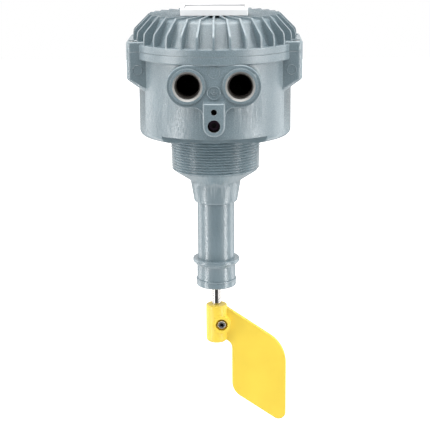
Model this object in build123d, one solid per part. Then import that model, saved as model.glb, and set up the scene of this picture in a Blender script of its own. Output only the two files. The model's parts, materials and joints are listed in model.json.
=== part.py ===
from build123d import *
import os
from math import asin, atan, cos, degrees, radians, sin, sqrt, tan

# Rotary paddle level switch. Millimetres. The origin is on the shaft's axis, in the shoulder plane
# from which the process thread hangs. +Z is up, the cable entries face -Y, the vane points to +X.

# Clearances
running_gap = 0.05
seat_gap = 0.03
moving_gap = 0.3
screw_hole_gap = 0.25
screw_socket_share = 0.55
screw_socket_depth_share = 0.6

# Housing
body_radius = 63.5
body_wall = 5.0
floor_thickness = 4.0
shoulder_thickness = 5.3
seam_height = 71.8
flange_overhang = 4.5
flange_thickness = 6.8
flange_root_round = 1.5
floor_round = 4.0
fusion = 3.0

# Ears with the cover screws
ear_overhang = 8.2
ear_width_share = 0.488
ear_corner_round = 4.3
ear_foot_share = 0.662
ear_foot_slope = 35.0
ear_root_round = 3.0
cover_ear_thickness = 7.9
cover_ear_top_round = 1.0
cover_screw_edge = 6.2
cover_screw_inset = 11.0
cover_screw_diameter = 5.0
cover_screw_head_diameter = 8.5
cover_screw_head_height = 5.0
cover_screw_length = 14.0
counterbore_gap = 0.5
tapping_run_out = 1.0

# Cover
cover_flange_thickness = 6.1
cover_flange_round = 0.8
cover_height = 28.4
rib_count = 32
rib_thickness = 1.8
rib_rim_inset = 9.0
rib_shoulder_inset = 0.8
rib_shoulder_share = 0.553
rib_shoulder_round = 5.0
rib_foot_inset = 0.2
rib_foot_share = 0.377
rib_depth_at_rim = 2.0
rib_depth_at_foot = 5.4
cover_wall = 4.2
cover_wall_round = 4.0
rib_inner_radius = 18.0

# Label holder on the cover
holder_length = 55.0
holder_width = 50.0
holder_height = 5.2
holder_wall = 2.3
holder_recess = 2.5
holder_corner_round = 1.2
holder_seat_margin = 13.0
label_thickness = 0.6
label_gap = 0.3

# Cable entries and their pad
pad_projection = 2.5
pad_lobe_radius = 17.0
pad_web_round = 8.0
pad_edge_round = 1.0
entry_spacing = 41.8
entry_height_share = 0.6526
entry_bore_diameter = 19.0
entry_mouth_diameter = 23.8
entry_boss_diameter = 28.2
entry_boss_height = 1.2

# Ground lug
lug_projection = 11.5
lug_width = 17.4
lug_top_share = 0.469
lug_hole_share = 0.197
lug_edge_round = 1.6
earth_tap_diameter = 4.7
earth_tap_depth = 13.0
earth_tap_share = 0.3654
earth_pocket_diameter = 10.0
earth_pocket_depth = 9.0
earth_screw_diameter = 5.0
earth_screw_head_diameter = 8.5
earth_screw_head_height = 4.0
earth_screw_length = 5.0
earth_screw_key = 4.6
earth_screw_key_depth = 2.5

# Gaskets
gasket_width = 2.5
gasket_thickness = 1.8
cover_gasket_inset = 2.7

# Process connection
shoulder_round = 4.3
flats_cut = 16.5
thread_gauge_diameter = 75.184
thread_gauge_length = 17.5
thread_length = 31.1
thread_taper = 1 / 16
thread_end_chamfer = 1.2
cone_widening = 3.2
cone_length = 9.4
boss_wall = 2.55
boss_length = 19.0
boss_end_round = 2.0
spigot_diameter = 40.0
spigot_gap = 0.1
neck_gasket_edge = 1.5
neck_screw_circle = 56.0
neck_screw_diameter = 6.0
neck_screw_head_diameter = 10.0
neck_screw_head_height = 6.0
neck_screw_length = 12.0

# Tube
tube_diameter = 31.5
tube_wall = 3.0
tube_engagement = 21.5
tube_length_shown = 50.2
plug_diameter = 8.6
plug_drop = 24.5

# Bearing carrier and end cap
collar_overhang = 4.25
collar_rim = 2.6
collar_rim_round = 0.9
collar_top_round = 0.5
collar_length = 6.3
sleeve_step = 0.75
sleeve_length = 12.1
tube_socket_depth = 4.0
cap_thickness = 6.5
cap_overhang = 0.5
cap_rim_overhang = 0.5
cap_rim_thickness = 1.1
cap_rim_round = 0.4
cap_round = 1.2
cap_screw_land = 2.25
cap_screw_diameter = 2.5
cap_screw_head_diameter = 4.6
cap_screw_head_height = 1.5
cap_screw_head_gap = 0.1
cap_screw_slot_width = 0.6
cap_screw_slot_depth = 0.7
cap_screw_length = 10.0
cap_screw_tip_gap = 0.5
seal_width = 5.0
seal_lip_start = 1.0
seal_lip_width = 1.0
seal_web = 1.2

# Ball bearings, the same size above and below
bearing_bore = 10.0
bearing_wall = 1.75
bearing_width = 6.0
bearing_ball_share = 0.45
bearing_ball_count = 9
bearing_shoulder = 1.6
bearing_shoulder_share = 0.34
bearing_shoulder_run_out = 0.2
circlip_thickness = 1.0
circlip_groove_depth = 0.6
circlip_clearance = 0.7
bore_circlip_width = 2.2
bore_circlip_opening = 6.0
shaft_circlip_width = 1.5
shaft_circlip_opening = 3.0
upper_bearing_height = 1.7

# Shaft
shaft_diameter = 8.0
shaft_body_diameter = 12.0
shaft_step_length = 0.6
shaft_shown = 17.9
shaft_in_hub = 28.5

# Paddle
hub_diameter = 18.2
hub_length = 34.0
hub_end_round = 3.0
vane_thickness = 4.0
vane_edge_round = 1.4
vane_inner_x = 13.3
vane_outer_x = 61.1
vane_root_drop = 4.9
vane_root_x = 12.9
vane_slope = 34.4
vane_low_x = 50.7
vane_drop = 106.8
vane_joint_depth = 1.5
vane_throat_x = 2.0
vane_throat_rise = 0.35
vane_throat_gap = 1.0
vane_outer_round = 32.0
vane_tip_round = 6.3
vane_inner_round = 16.4
vane_throat_round = 8.5
paddle_screw_x = 4.45
paddle_screw_drop = 16.6
paddle_screw_diameter = 4.0
paddle_screw_head_diameter = 7.0
paddle_screw_head_height = 4.0
paddle_screw_key = 3.8
paddle_screw_key_depth = 2.2
paddle_boss_diameter = 15.6
paddle_boss_half_length = 10.0
paddle_counterbore_diameter = 10.4
paddle_counterbore_depth = 4.4
nut_across_flats = 7.0
nut_height = 3.2

# Chassis plate on its pillars
chassis_edge_gap = 4.5
chassis_thickness = 2.0
chassis_height = 20.0
pillar_inset = 11.5
pillar_diameter = 9.0
chassis_screw_diameter = 4.0
chassis_screw_head_diameter = 7.5
chassis_screw_head_height = 2.6
chassis_screw_length = 9.0

# Drive, with its plan sizes given for the reference cavity radius
reference_cavity_radius = 58.5
bush_bore = 18.6
bush_diameter = 24.0
bush_flange_diameter = 30.0
bush_flange_thickness = 1.5
bush_height = 5.5
carrier_thickness = 2.5
carrier_radius_reference = 27.0
carrier_hub_diameter = 30.0
carrier_arm_width = 8.5
carrier_arm_overhang = 3.0
trip_post_x_reference = 1.25
trip_post_y_reference = 28.0
trip_post_diameter = 3.2
trip_post_overhang = 1.5
motor_ear_reach_reference = 34.0
motor_ear_width = 10.0
motor_ear_thickness = 1.5
motor_screw_edge = 4.0
motor_screw_diameter = 3.0
motor_screw_head_diameter = 5.5
motor_screw_head_height = 2.4
gearbox_diameter_reference = 50.0
gearbox_height = 13.7
motor_edge_step = 1.0
motor_height = 20.0
motor_edge_round = 1.5
motor_cap_share = 0.25
motor_cap_height = 1.2
output_shaft_diameter = 6.0
output_shaft_engagement = 6.0
coupling_diameter = 17.0
coupling_sleeve_length = 6.5
coupling_clip_gap = 1.8
coupling_gap = 1.0
coupling_dog_height = 4.0
coupling_dog_bore = 11.0
coupling_dog_angle = 86.0
coupling_top_gap = 1.5
swing_angle = 8.0
stop_pin_diameter = 3.0
stop_pin_height = 8.0
stop_pin_offset = 1.0

# Torque spring, along Y beside the motor
spring_x_reference = 38.0
spring_carrier_y_reference = 6.0
spring_chassis_y_reference = -20.0
spring_height = 34.0
spring_coil_diameter = 5.0
spring_wire = 0.8
spring_turns = 10
spring_post_diameter = 3.0
spring_post_overhang = 3.0
spring_post_foot = 2.0

# Switches
switch_face_x_reference = -6.0
switch_length_reference = 19.8
switch_depth_reference = 10.2
switch_height = 6.4
switch_inner_y_reference = 33.0
switch_spacing = 0.3
switch_tab_length = 4.0
switch_tab_width = 2.8
switch_tab_thickness = 0.6
switch_tab_inset = 3.0
switch_cheek = 2.4
switch_cheek_thickness = 0.6
switch_cheek_gap = 0.6
pedestal_height = 10.0
switch_screw_diameter = 2.2
switch_screw_head_diameter = 4.0
switch_screw_head_height = 1.6
switch_screw_inset_share = 0.232
switch_screw_depth_share = 0.647
switch_screw_tip_gap = 0.5
lever_pivot_x_reference = -5.0
lever_pivot_inset = 2.8
lever_length_reference = 24.0
lever_width = 4.4
lever_thickness = 0.5
lever_eye_diameter = 2.0
lever_pin_diameter = 0.9

# Terminals
terminal_half_reference = 28.0
terminal_front_reference = -46.0
terminal_back_reference = -32.0
terminal_height = 14.0
terminal_ways = 6
terminal_rib = 1.6
terminal_end = 6.6
terminal_recess = 3.0
terminal_mouth = 5.0
terminal_screw_diameter = 3.0
terminal_head_gap = 0.53
terminal_fixing_head = 5.0
terminal_fixing_edge = 3.5
terminal_screw_head_height = 1.8
terminal_slot_width = 0.8
terminal_slot_depth = 0.8
terminal_tip_gap = 0.3
inner_earth_x_reference = -42.0
inner_earth_y_reference = -20.0
inner_earth_washer = 9.0
inner_earth_washer_thickness = 1.0
inner_earth_head = 7.0
inner_earth_head_height = 2.6
inner_earth_shank = 4.0
inner_earth_shank_length = 0.5

# Worked out from the sizes above
cavity_radius = body_radius - body_wall
inside = cavity_radius / reference_cavity_radius
flange_radius = body_radius + flange_overhang
floor_height = shoulder_thickness + floor_thickness
housing_height = seam_height - shoulder_thickness
cover_flange_height = seam_height + cover_flange_thickness
cover_ear_height = seam_height + cover_ear_thickness
rib_top_height = seam_height + cover_height
rib_rim_radius = body_radius - rib_rim_inset
rib_shoulder_radius = flange_radius - rib_shoulder_inset
rib_shoulder_height = seam_height + rib_shoulder_share * cover_height
rib_foot_radius = flange_radius - rib_foot_inset
rib_foot_height = seam_height + rib_foot_share * cover_height
cover_top_height = rib_top_height - rib_depth_at_rim
cover_rim_radius = rib_rim_radius - rib_depth_at_rim / 2
cover_foot_radius = flange_radius - rib_depth_at_foot
cover_inner_top = cover_top_height - cover_wall
ear_reach = body_radius + ear_overhang
ear_half_width = body_radius * ear_width_share
ear_root = cavity_radius - 2 * fusion
ear_foot_height = shoulder_thickness + ear_foot_share * housing_height
cover_screw_x = ear_reach - cover_screw_edge
cover_screw_y = ear_half_width - cover_screw_inset
cover_screw_seat = cover_ear_height - cover_screw_head_height - counterbore_gap
pad_face = body_radius + pad_projection
entry_front = pad_face + entry_boss_height
entry_height = shoulder_thickness + entry_height_share * housing_height
lug_face = body_radius + lug_projection
lug_top_height = shoulder_thickness + lug_top_share * housing_height
lug_hole_height = shoulder_thickness + lug_hole_share * housing_height
earth_tap_height = shoulder_thickness + earth_tap_share * housing_height
earth_screw_seat = earth_pocket_depth - lug_face
cover_gasket_radius = cavity_radius + cover_gasket_inset
flats_half = body_radius - flats_cut
neck_gasket_radius = flats_half - gasket_width - neck_gasket_edge
thread_end_radius = thread_gauge_diameter / 2 - thread_gauge_length * thread_taper / 2
thread_start_radius = thread_end_radius + thread_length * thread_taper / 2
cone_end_height = -thread_length - cone_length
boss_end_height = cone_end_height - boss_length
boss_end_diameter = tube_diameter + 2 * boss_wall
cone_end_diameter = boss_end_diameter + 2 * cone_widening
tube_top_height = boss_end_height + tube_engagement
tube_bore = tube_diameter - 2 * tube_wall
plug_height = boss_end_height - plug_drop
collar_top_height = boss_end_height - tube_length_shown
collar_end_height = collar_top_height - collar_length
sleeve_end_height = collar_end_height - sleeve_length
cap_end_height = sleeve_end_height - cap_thickness
socket_height = collar_top_height - tube_socket_depth
collar_diameter = tube_diameter + 2 * collar_overhang
sleeve_diameter = tube_diameter + 2 * sleeve_step
cap_diameter = sleeve_diameter + 2 * cap_overhang
cap_rim_diameter = cap_diameter + 2 * cap_rim_overhang
bearing_diameter = tube_bore - 2 * bearing_wall
bearing_ball_diameter = bearing_ball_share * (bearing_diameter - bearing_bore) / 2
bearing_shoulder_bore = shaft_body_diameter + bearing_shoulder_share * (
    bearing_diameter - shaft_body_diameter
)
cap_screw_circle = bearing_diameter + 2 * cap_screw_land
lower_bearing_height = socket_height - circlip_thickness - circlip_clearance - bearing_width
seal_height = sleeve_end_height + seal_width
race_wall = (bearing_diameter - bearing_bore) / 2 - bearing_ball_diameter - 2 * running_gap
inner_race_diameter = bearing_bore + race_wall
outer_race_bore = bearing_diameter - race_wall
hub_top_height = cap_end_height - shaft_shown
hub_end_height = hub_top_height - hub_length
shaft_end_height = hub_top_height - shaft_in_hub
vane_root_height = hub_top_height - vane_root_drop
vane_low_height = hub_top_height - vane_drop
paddle_screw_height = hub_top_height - paddle_screw_drop
chassis_radius = cavity_radius - chassis_edge_gap * inside
pillar_circle = 2 * (cavity_radius - pillar_inset * inside)
chassis_top = chassis_height + chassis_thickness
bush_top = chassis_top + bush_height
carrier_radius = carrier_radius_reference * inside
carrier_bottom = bush_top + moving_gap
carrier_top = carrier_bottom + carrier_thickness
trip_post_x = trip_post_x_reference * inside
trip_post_y = trip_post_y_reference * inside
carrier_arm_reach = trip_post_y + carrier_arm_overhang
motor_ear_reach = motor_ear_reach_reference * inside
motor_screw_x = motor_ear_reach - motor_screw_edge
gearbox_diameter = gearbox_diameter_reference * inside
gearbox_top = carrier_top + gearbox_height
motor_diameter = gearbox_diameter - 2 * motor_edge_step
motor_top = gearbox_top + motor_height
coupling_start = upper_bearing_height + bearing_width + circlip_thickness + coupling_clip_gap
shaft_top_height = coupling_start + coupling_sleeve_length
dog_end = shaft_top_height + coupling_dog_height
coupling_end = dog_end + coupling_sleeve_length - coupling_top_gap
spring_x = spring_x_reference * inside
spring_carrier_y = spring_carrier_y_reference * inside
spring_chassis_y = spring_chassis_y_reference * inside
spring_post_top = spring_height + spring_post_overhang
pedestal_top = chassis_top + pedestal_height
signal_switch_height = pedestal_top
stop_switch_height = signal_switch_height + switch_height + switch_spacing
switch_stack_top = stop_switch_height + switch_height
trip_post_top = switch_stack_top + trip_post_overhang
switch_face_x = switch_face_x_reference * inside
switch_depth = switch_depth_reference * inside
switch_back_x = switch_face_x - switch_depth
switch_inner_y = switch_inner_y_reference * inside
switch_outer_y = switch_inner_y + switch_length_reference * inside
switch_screw_inset = switch_screw_inset_share * (switch_outer_y - switch_inner_y)
lever_pivot_x = lever_pivot_x_reference * inside
lever_pivot_y = switch_outer_y - lever_pivot_inset
lever_length = lever_length_reference * inside
terminal_half_length = terminal_half_reference * inside
terminal_front_y = terminal_front_reference * inside
terminal_back_y = terminal_back_reference * inside
terminal_middle_y = (terminal_front_y + terminal_back_y) / 2
terminal_top = chassis_top + terminal_height
terminal_pitch = 2 * (terminal_half_length - terminal_end) / terminal_ways
terminal_screw_head_diameter = terminal_pitch - terminal_rib - terminal_head_gap
terminal_fixing_x = terminal_half_length - terminal_fixing_edge
inner_earth_x = inner_earth_x_reference * inside
inner_earth_y = inner_earth_y_reference * inside


def rod(radius, low, high, x=0.0, y=0.0):
    """Upright cylinder between two heights."""
    return Pos(x, y, (low + high) / 2) * Cylinder(radius, high - low)


def rod_along_y(radius, front, back, x, z):
    """Cylinder along Y between two distances."""
    return Pos(x, (front + back) / 2, z) * Rot(90, 0, 0) * Cylinder(radius, back - front)


def ring(outer, inner, low, high):
    """Upright ring on the axis."""
    return rod(outer, low, high) - rod(inner, low, high)


def block(x0, x1, y0, y1, z0, z1):
    """Box between opposite corners."""
    return Pos((x0 + x1) / 2, (y0 + y1) / 2, (z0 + z1) / 2) * Box(x1 - x0, y1 - y0, z1 - z0)


def outline(points, rounds=None):
    """Closed flat outline, with some corners rounded."""
    face = make_face(Polyline(*points, close=True))
    for place, radius in (rounds or {}).items():
        corner = face.vertices().sort_by_distance(Vector(*place))[0]
        face = fillet(corner, radius)
    return face


def turned(points, rounds=None):
    """Body of revolution from a half section of (radius, height) points."""
    return revolve(Plane.XZ * outline(points, rounds), Axis.Z)


def along_y(points, half_width, rounds=None):
    """Side profile in X and Z, as wide as told each side of the middle."""
    return extrude(Plane.XZ * outline(points, rounds), half_width, both=True)


def both_sides(shape):
    """The shape and its mirror image across the YZ plane."""
    return shape + mirror(shape, Plane.YZ)


def group(solids):
    """Separate solids kept together in one node."""
    return Compound(children=[part.solid() for part in solids])


def screw(x, y, seat, diameter, length, head_diameter, head_height):
    """Upright socket head screw, its head resting on the seat height."""
    body = rod(diameter / 2, seat - length, seat, x, y)
    body += rod(head_diameter / 2, seat, seat + head_height, x, y)
    depth = head_height * screw_socket_depth_share
    key = extrude(RegularPolygon(head_diameter * screw_socket_share / 2, 6), depth)
    return body - Pos(x, y, seat + head_height - depth) * key


def screw_places(circle, count, start):
    """Places evenly spaced on a pitch circle."""
    angles = [radians(start + 360 * index / count) for index in range(count)]
    return [(circle / 2 * cos(angle), circle / 2 * sin(angle)) for angle in angles]


def cover_screw_places():
    return [(x, y) for x in (-cover_screw_x, cover_screw_x) for y in (-cover_screw_y, cover_screw_y)]


def ear_block(points):
    """One wide ear, from inside the body wall to the ear's reach."""
    ear = along_y(points, ear_half_width)
    outer = [edge for edge in ear.edges().filter_by(Axis.Z) if edge.center().X > ear_reach - seat_gap]
    return fillet(outer, ear_corner_round)


def body_ear():
    """Housing ear with its foot sloping back to the wall."""
    drop = (ear_reach - ear_root) * tan(radians(ear_foot_slope))
    ear = ear_block([
        (ear_root, seam_height), (ear_reach, seam_height), (ear_reach, ear_foot_height),
        (ear_root, ear_foot_height - drop),
    ])
    foot = [
        edge for edge in ear.edges()
        if edge.center().Z < ear_foot_height + seat_gap and edge.center().X > ear_root + fusion
    ]
    return fillet(foot, ear_root_round)


def cover_ear():
    """Cover ear, its top edge softened."""
    ear = ear_block([
        (ear_root, seam_height), (ear_reach, seam_height), (ear_reach, cover_ear_height),
        (ear_root, cover_ear_height),
    ])
    top = [edge for edge in ear.edges().group_by(Axis.Z)[-1] if edge.center().X > ear_root + fusion]
    return fillet(top, cover_ear_top_round)


def pad_outline():
    """Outline of the cable entry pad in X and Z, with the web down to the lug."""
    half = entry_spacing / 2
    low = entry_height - pad_lobe_radius
    lobes = Pos(-half, entry_height) * Circle(pad_lobe_radius)
    lobes += Pos(half, entry_height) * Circle(pad_lobe_radius)
    middle = Pos(0, entry_height) * Rectangle(entry_spacing, 2 * pad_lobe_radius)
    web_half = lug_width / 2 + pad_web_round
    web = Pos(0, low - pad_web_round / 2) * Rectangle(2 * web_half, pad_web_round)
    for side in (-1, 1):
        web -= Pos(side * web_half, low - pad_web_round) * Circle(pad_web_round)
    return lobes + middle + web


def lug_outline():
    """Outline of the ground lug, round at its foot."""
    middle = (lug_hole_height + lug_top_height) / 2
    shape = Pos(0, middle) * Rectangle(lug_width, lug_top_height - lug_hole_height)
    return shape + Pos(0, lug_hole_height) * Circle(lug_width / 2)


def raised(shape, face, back):
    """Flat outline in X and Z raised from inside the wall to a front face at -Y."""
    return Pos(0, -back, 0) * extrude(Plane.XZ * shape, face - back)


def front_edges(solid, face):
    return [edge for edge in solid.edges() if abs(edge.center().Y + face) < seat_gap]


def housing():
    flange_low = seam_height - flange_thickness
    body = turned(
        [
            (0, shoulder_thickness), (body_radius, shoulder_thickness), (body_radius, flange_low),
            (flange_radius, flange_low), (flange_radius, seam_height), (0, seam_height),
        ],
        {(body_radius, flange_low): flange_root_round, (flange_radius, flange_low): flange_root_round},
    )
    body += both_sides(body_ear())
    back = cavity_radius / 2
    pad = raised(pad_outline(), pad_face, back)
    body += fillet(front_edges(pad, pad_face), pad_edge_round)
    lug = raised(lug_outline(), lug_face, back)
    body += fillet(front_edges(lug, lug_face), lug_edge_round)
    for x in (-entry_spacing / 2, entry_spacing / 2):
        body += rod_along_y(entry_boss_diameter / 2, -entry_front, -pad_face, x, entry_height)
    body -= turned(
        [(0, floor_height), (cavity_radius, floor_height), (cavity_radius, seam_height), (0, seam_height)],
        {(cavity_radius, floor_height): floor_round},
    )
    for x, y in screw_places(pillar_circle, 4, 45):
        body += rod(pillar_diameter / 2, floor_height, chassis_height, x, y)
        depth = chassis_height - chassis_screw_length
        body -= rod(chassis_screw_diameter / 2 + seat_gap, depth, chassis_height, x, y)
    for x in (-entry_spacing / 2, entry_spacing / 2):
        body -= rod_along_y(entry_bore_diameter / 2, -entry_front, -back, x, entry_height)
        step = (entry_mouth_diameter - entry_bore_diameter) / 2
        mouth = Pos(x, step / 2 - entry_front, entry_height) * Rot(90, 0, 0)
        body -= mouth * Cone(entry_bore_diameter / 2, entry_mouth_diameter / 2, step)
    body -= rod_along_y(earth_tap_diameter / 2, -lug_face, earth_tap_depth - lug_face, 0, earth_tap_height)
    body -= rod_along_y(earth_pocket_diameter / 2, -lug_face, earth_screw_seat, 0, lug_hole_height)
    shank_end = earth_screw_seat + earth_screw_length
    shank = earth_screw_diameter / 2 + seat_gap
    body -= rod_along_y(shank, earth_screw_seat, shank_end, 0, lug_hole_height)
    body -= rod(spigot_diameter / 2 + spigot_gap, shoulder_thickness, floor_height)
    for x, y in screw_places(neck_screw_circle, 4, 45):
        hole = neck_screw_diameter / 2 + screw_hole_gap
        body -= rod(hole, shoulder_thickness, floor_height, x, y)
    groove = cover_gasket_radius
    body -= ring(groove + gasket_width, groove, seam_height - gasket_thickness, seam_height)
    low = cover_screw_seat - cover_screw_length - tapping_run_out
    for x, y in cover_screw_places():
        body -= rod(cover_screw_diameter / 2 + seat_gap, low, seam_height, x, y)
    return body


def cover_skin(inset=0.0):
    """Half section of the cover's dome between the ribs, or of a surface further in."""
    top = cover_top_height - inset
    return [(cover_foot_radius - inset, cover_flange_height), (cover_rim_radius - inset, top)]


def cover_rib():
    """One radial rib, its root inside the cover's shell."""
    root = cover_wall / 2
    foot, rim = cover_skin(root)
    points = [
        (rib_inner_radius, rim[1]), (rib_inner_radius, rib_top_height),
        (rib_rim_radius, rib_top_height), (rib_shoulder_radius, rib_shoulder_height),
        (rib_foot_radius, rib_foot_height), (rib_foot_radius, cover_flange_height - fusion / 2),
        (foot[0], cover_flange_height - fusion / 2), foot, rim,
    ]
    rounds = {(rib_shoulder_radius, rib_shoulder_height): rib_shoulder_round}
    return along_y(points, rib_thickness / 2, rounds)


def cover():
    foot, rim = cover_skin()
    shell = turned(
        [
            (0, seam_height), (flange_radius, seam_height), (flange_radius, cover_flange_height),
            foot, rim, (0, cover_top_height),
        ],
        {(flange_radius, cover_flange_height): cover_flange_round, rim: cover_wall_round},
    )
    ribs = [Rot(0, 0, -90 + 360 * index / rib_count) * cover_rib() for index in range(rib_count)]
    shell = shell + ribs
    seat_x = holder_length / 2 - holder_seat_margin
    seat_y = holder_width / 2 - holder_seat_margin
    shell += block(-seat_x, seat_x, -seat_y, seat_y, cover_inner_top + fusion / 2, rib_top_height)
    shell += both_sides(cover_ear())
    inner = min(cavity_radius, cover_foot_radius - cover_wall)
    shell -= turned(
        [
            (0, seam_height), (inner, seam_height), (inner, cover_flange_height),
            (cover_rim_radius - cover_wall, cover_inner_top), (0, cover_inner_top),
        ],
        {(cover_rim_radius - cover_wall, cover_inner_top): cover_wall_round},
    )
    for x, y in cover_screw_places():
        shell -= rod(cover_screw_diameter / 2 + screw_hole_gap, seam_height, cover_ear_height, x, y)
        bore = cover_screw_head_diameter / 2 + counterbore_gap
        shell -= rod(bore, cover_screw_seat, cover_ear_height, x, y)
    return shell


def cover_screws():
    return group([
        screw(x, y, cover_screw_seat, cover_screw_diameter, cover_screw_length,
              cover_screw_head_diameter, cover_screw_head_height)
        for x, y in cover_screw_places()
    ])


def cover_gasket():
    low = seam_height - gasket_thickness
    return ring(cover_gasket_radius + gasket_width, cover_gasket_radius, low, seam_height)


def label_holder():
    top = rib_top_height + holder_height
    half_x, half_y = holder_length / 2, holder_width / 2
    tray = block(-half_x, half_x, -half_y, half_y, rib_top_height, top)
    tray = fillet(tray.edges().filter_by(Axis.Z), holder_corner_round)
    in_x, in_y = half_x - holder_wall, half_y - holder_wall
    return tray - block(-in_x, in_x, -in_y, in_y, top - holder_recess, top)


def label_plate():
    half_x = holder_length / 2 - holder_wall - label_gap
    half_y = holder_width / 2 - holder_wall - label_gap
    low = rib_top_height + holder_height - holder_recess
    return block(-half_x, half_x, -half_y, half_y, low, low + label_thickness)


def bearing_seat(low):
    """Bore for an outer race, its circlip groove and the hole through the shoulder below."""
    top = low + bearing_width
    seat = rod(bearing_diameter / 2, low, top + circlip_thickness + circlip_clearance)
    seat += rod(bearing_diameter / 2 + circlip_groove_depth, top, top + circlip_thickness + seat_gap)
    return seat + rod(bearing_shoulder_bore / 2, low - bearing_shoulder - bearing_shoulder_run_out, low)


def process_connection():
    thread_low = -thread_length
    body = turned(
        [
            (0, floor_height), (spigot_diameter / 2, floor_height),
            (spigot_diameter / 2, shoulder_thickness), (body_radius, shoulder_thickness),
            (body_radius, 0), (thread_start_radius, 0),
            (thread_end_radius, thread_low + thread_end_chamfer),
            (thread_end_radius - thread_end_chamfer, thread_low),
            (cone_end_diameter / 2, cone_end_height), (boss_end_diameter / 2, boss_end_height),
            (0, boss_end_height),
        ],
        {(body_radius, 0): shoulder_round, (boss_end_diameter / 2, boss_end_height): boss_end_round},
    )
    for side in (-1, 1):
        y0, y1 = sorted((side * flats_half, side * 2 * body_radius))
        body -= block(-body_radius, body_radius, y0, y1, -fusion, shoulder_thickness)
    shoulder_low = upper_bearing_height - bearing_shoulder
    body -= bearing_seat(upper_bearing_height)
    body -= rod(tube_bore / 2, tube_top_height, shoulder_low)
    body -= rod(tube_diameter / 2 + seat_gap, boss_end_height, tube_top_height)
    low = shoulder_thickness - gasket_thickness
    body -= ring(neck_gasket_radius + gasket_width, neck_gasket_radius, low, shoulder_thickness)
    for x, y in screw_places(neck_screw_circle, 4, 45):
        low = floor_height - neck_screw_length - tapping_run_out
        body -= rod(neck_screw_diameter / 2 + seat_gap, low, shoulder_thickness, x, y)
    return body


def neck_gasket():
    low = shoulder_thickness - gasket_thickness
    return ring(neck_gasket_radius + gasket_width, neck_gasket_radius, low, shoulder_thickness)


def neck_screws():
    return group([
        screw(x, y, floor_height, neck_screw_diameter, neck_screw_length, neck_screw_head_diameter,
              neck_screw_head_height)
        for x, y in screw_places(neck_screw_circle, 4, 45)
    ])


def extension_tube():
    tube = ring(tube_diameter / 2, tube_bore / 2, socket_height, tube_top_height)
    return tube - rod_along_y(plug_diameter / 2, -tube_diameter, 0, 0, plug_height)


def tube_plug():
    wall = ring(tube_diameter / 2, tube_bore / 2, socket_height, tube_top_height)
    return wall & rod_along_y(plug_diameter / 2 - seat_gap, -tube_diameter, 0, 0, plug_height)


def bearing_carrier():
    rim_low = collar_top_height - collar_rim
    body = turned(
        [
            (0, collar_top_height), (collar_diameter / 2, collar_top_height),
            (collar_diameter / 2, rim_low), (sleeve_diameter / 2, collar_end_height),
            (sleeve_diameter / 2, sleeve_end_height), (0, sleeve_end_height),
        ],
        {
            (collar_diameter / 2, rim_low): collar_rim_round,
            (collar_diameter / 2, collar_top_height): collar_top_round,
        },
    )
    body -= rod(tube_diameter / 2 + seat_gap, socket_height, collar_top_height)
    body -= bearing_seat(lower_bearing_height)
    body -= rod(bearing_diameter / 2, sleeve_end_height, seal_height)
    for x, y in screw_places(cap_screw_circle, 3, 90):
        high = cap_end_height + cap_screw_length + cap_screw_tip_gap
        body -= rod(cap_screw_diameter / 2 + seat_gap, sleeve_end_height, high, x, y)
    return body


def end_cap():
    bore = shaft_diameter / 2 + moving_gap
    radius, rim = cap_diameter / 2, cap_rim_diameter / 2
    rim_low = sleeve_end_height - cap_rim_thickness
    body = turned(
        [
            (bore, sleeve_end_height), (bore, cap_end_height), (radius, cap_end_height),
            (radius, rim_low), (rim, rim_low), (rim, sleeve_end_height),
        ],
        {
            (radius, cap_end_height): cap_round,
            (rim, rim_low): cap_rim_round,
            (rim, sleeve_end_height): cap_rim_round,
        },
    )
    for x, y in screw_places(cap_screw_circle, 3, 90):
        body -= rod(cap_screw_diameter / 2 + seat_gap, cap_end_height, sleeve_end_height, x, y)
        seat = cap_end_height + cap_screw_head_gap + cap_screw_head_height
        body -= rod(cap_screw_head_diameter / 2, cap_end_height, seat, x, y)
    return body


def cap_screws():
    screws = []
    low = cap_end_height + cap_screw_head_gap
    seat = low + cap_screw_head_height
    head = cap_screw_head_diameter / 2 - cap_screw_head_gap
    slot = cap_screw_slot_width / 2
    for x, y in screw_places(cap_screw_circle, 3, 90):
        body = rod(cap_screw_diameter / 2, seat, cap_end_height + cap_screw_length, x, y)
        body += rod(head, low, seat, x, y)
        body -= block(x - slot, x + slot, y - head, y + head, low, low + cap_screw_slot_depth)
        screws.append(body)
    return group(screws)


def shaft_seal():
    """Lip seal with a thin lip on the shaft and a thick rim in the bore."""
    lip = shaft_diameter / 2 + running_gap
    outer = bearing_diameter / 2
    middle = (outer + lip) / 2
    low, high = sleeve_end_height, seal_height
    lip_low = low + seal_lip_start
    return turned([
        (lip, lip_low), (lip, lip_low + seal_lip_width), (middle, high - seal_web), (middle, high),
        (outer, high), (outer, low), (middle, low),
    ])


def outer_race(low):
    return ring(bearing_diameter / 2, outer_race_bore / 2, low, low + bearing_width)


def inner_race(low):
    return ring(inner_race_diameter / 2, bearing_bore / 2, low, low + bearing_width)


def bearing_balls():
    balls = []
    circle = (inner_race_diameter + outer_race_bore) / 2
    for low in (upper_bearing_height, lower_bearing_height):
        for x, y in screw_places(circle, bearing_ball_count, 0):
            balls.append(Pos(x, y, low + bearing_width / 2) * Sphere(bearing_ball_diameter / 2))
    return group(balls)


def bore_circlips():
    clips = []
    for low in (upper_bearing_height, lower_bearing_height):
        start = low + bearing_width
        radius = bearing_diameter / 2 + circlip_groove_depth - seat_gap
        clip = ring(radius, radius - bore_circlip_width, start, start + circlip_thickness)
        half = bore_circlip_opening / 2
        clips.append(clip - block(0, 2 * radius, -half, half, start, start + circlip_thickness))
    return group(clips)


def shaft_clip_heights():
    above = upper_bearing_height + bearing_width
    below = lower_bearing_height - circlip_thickness
    return (above, below)


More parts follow.
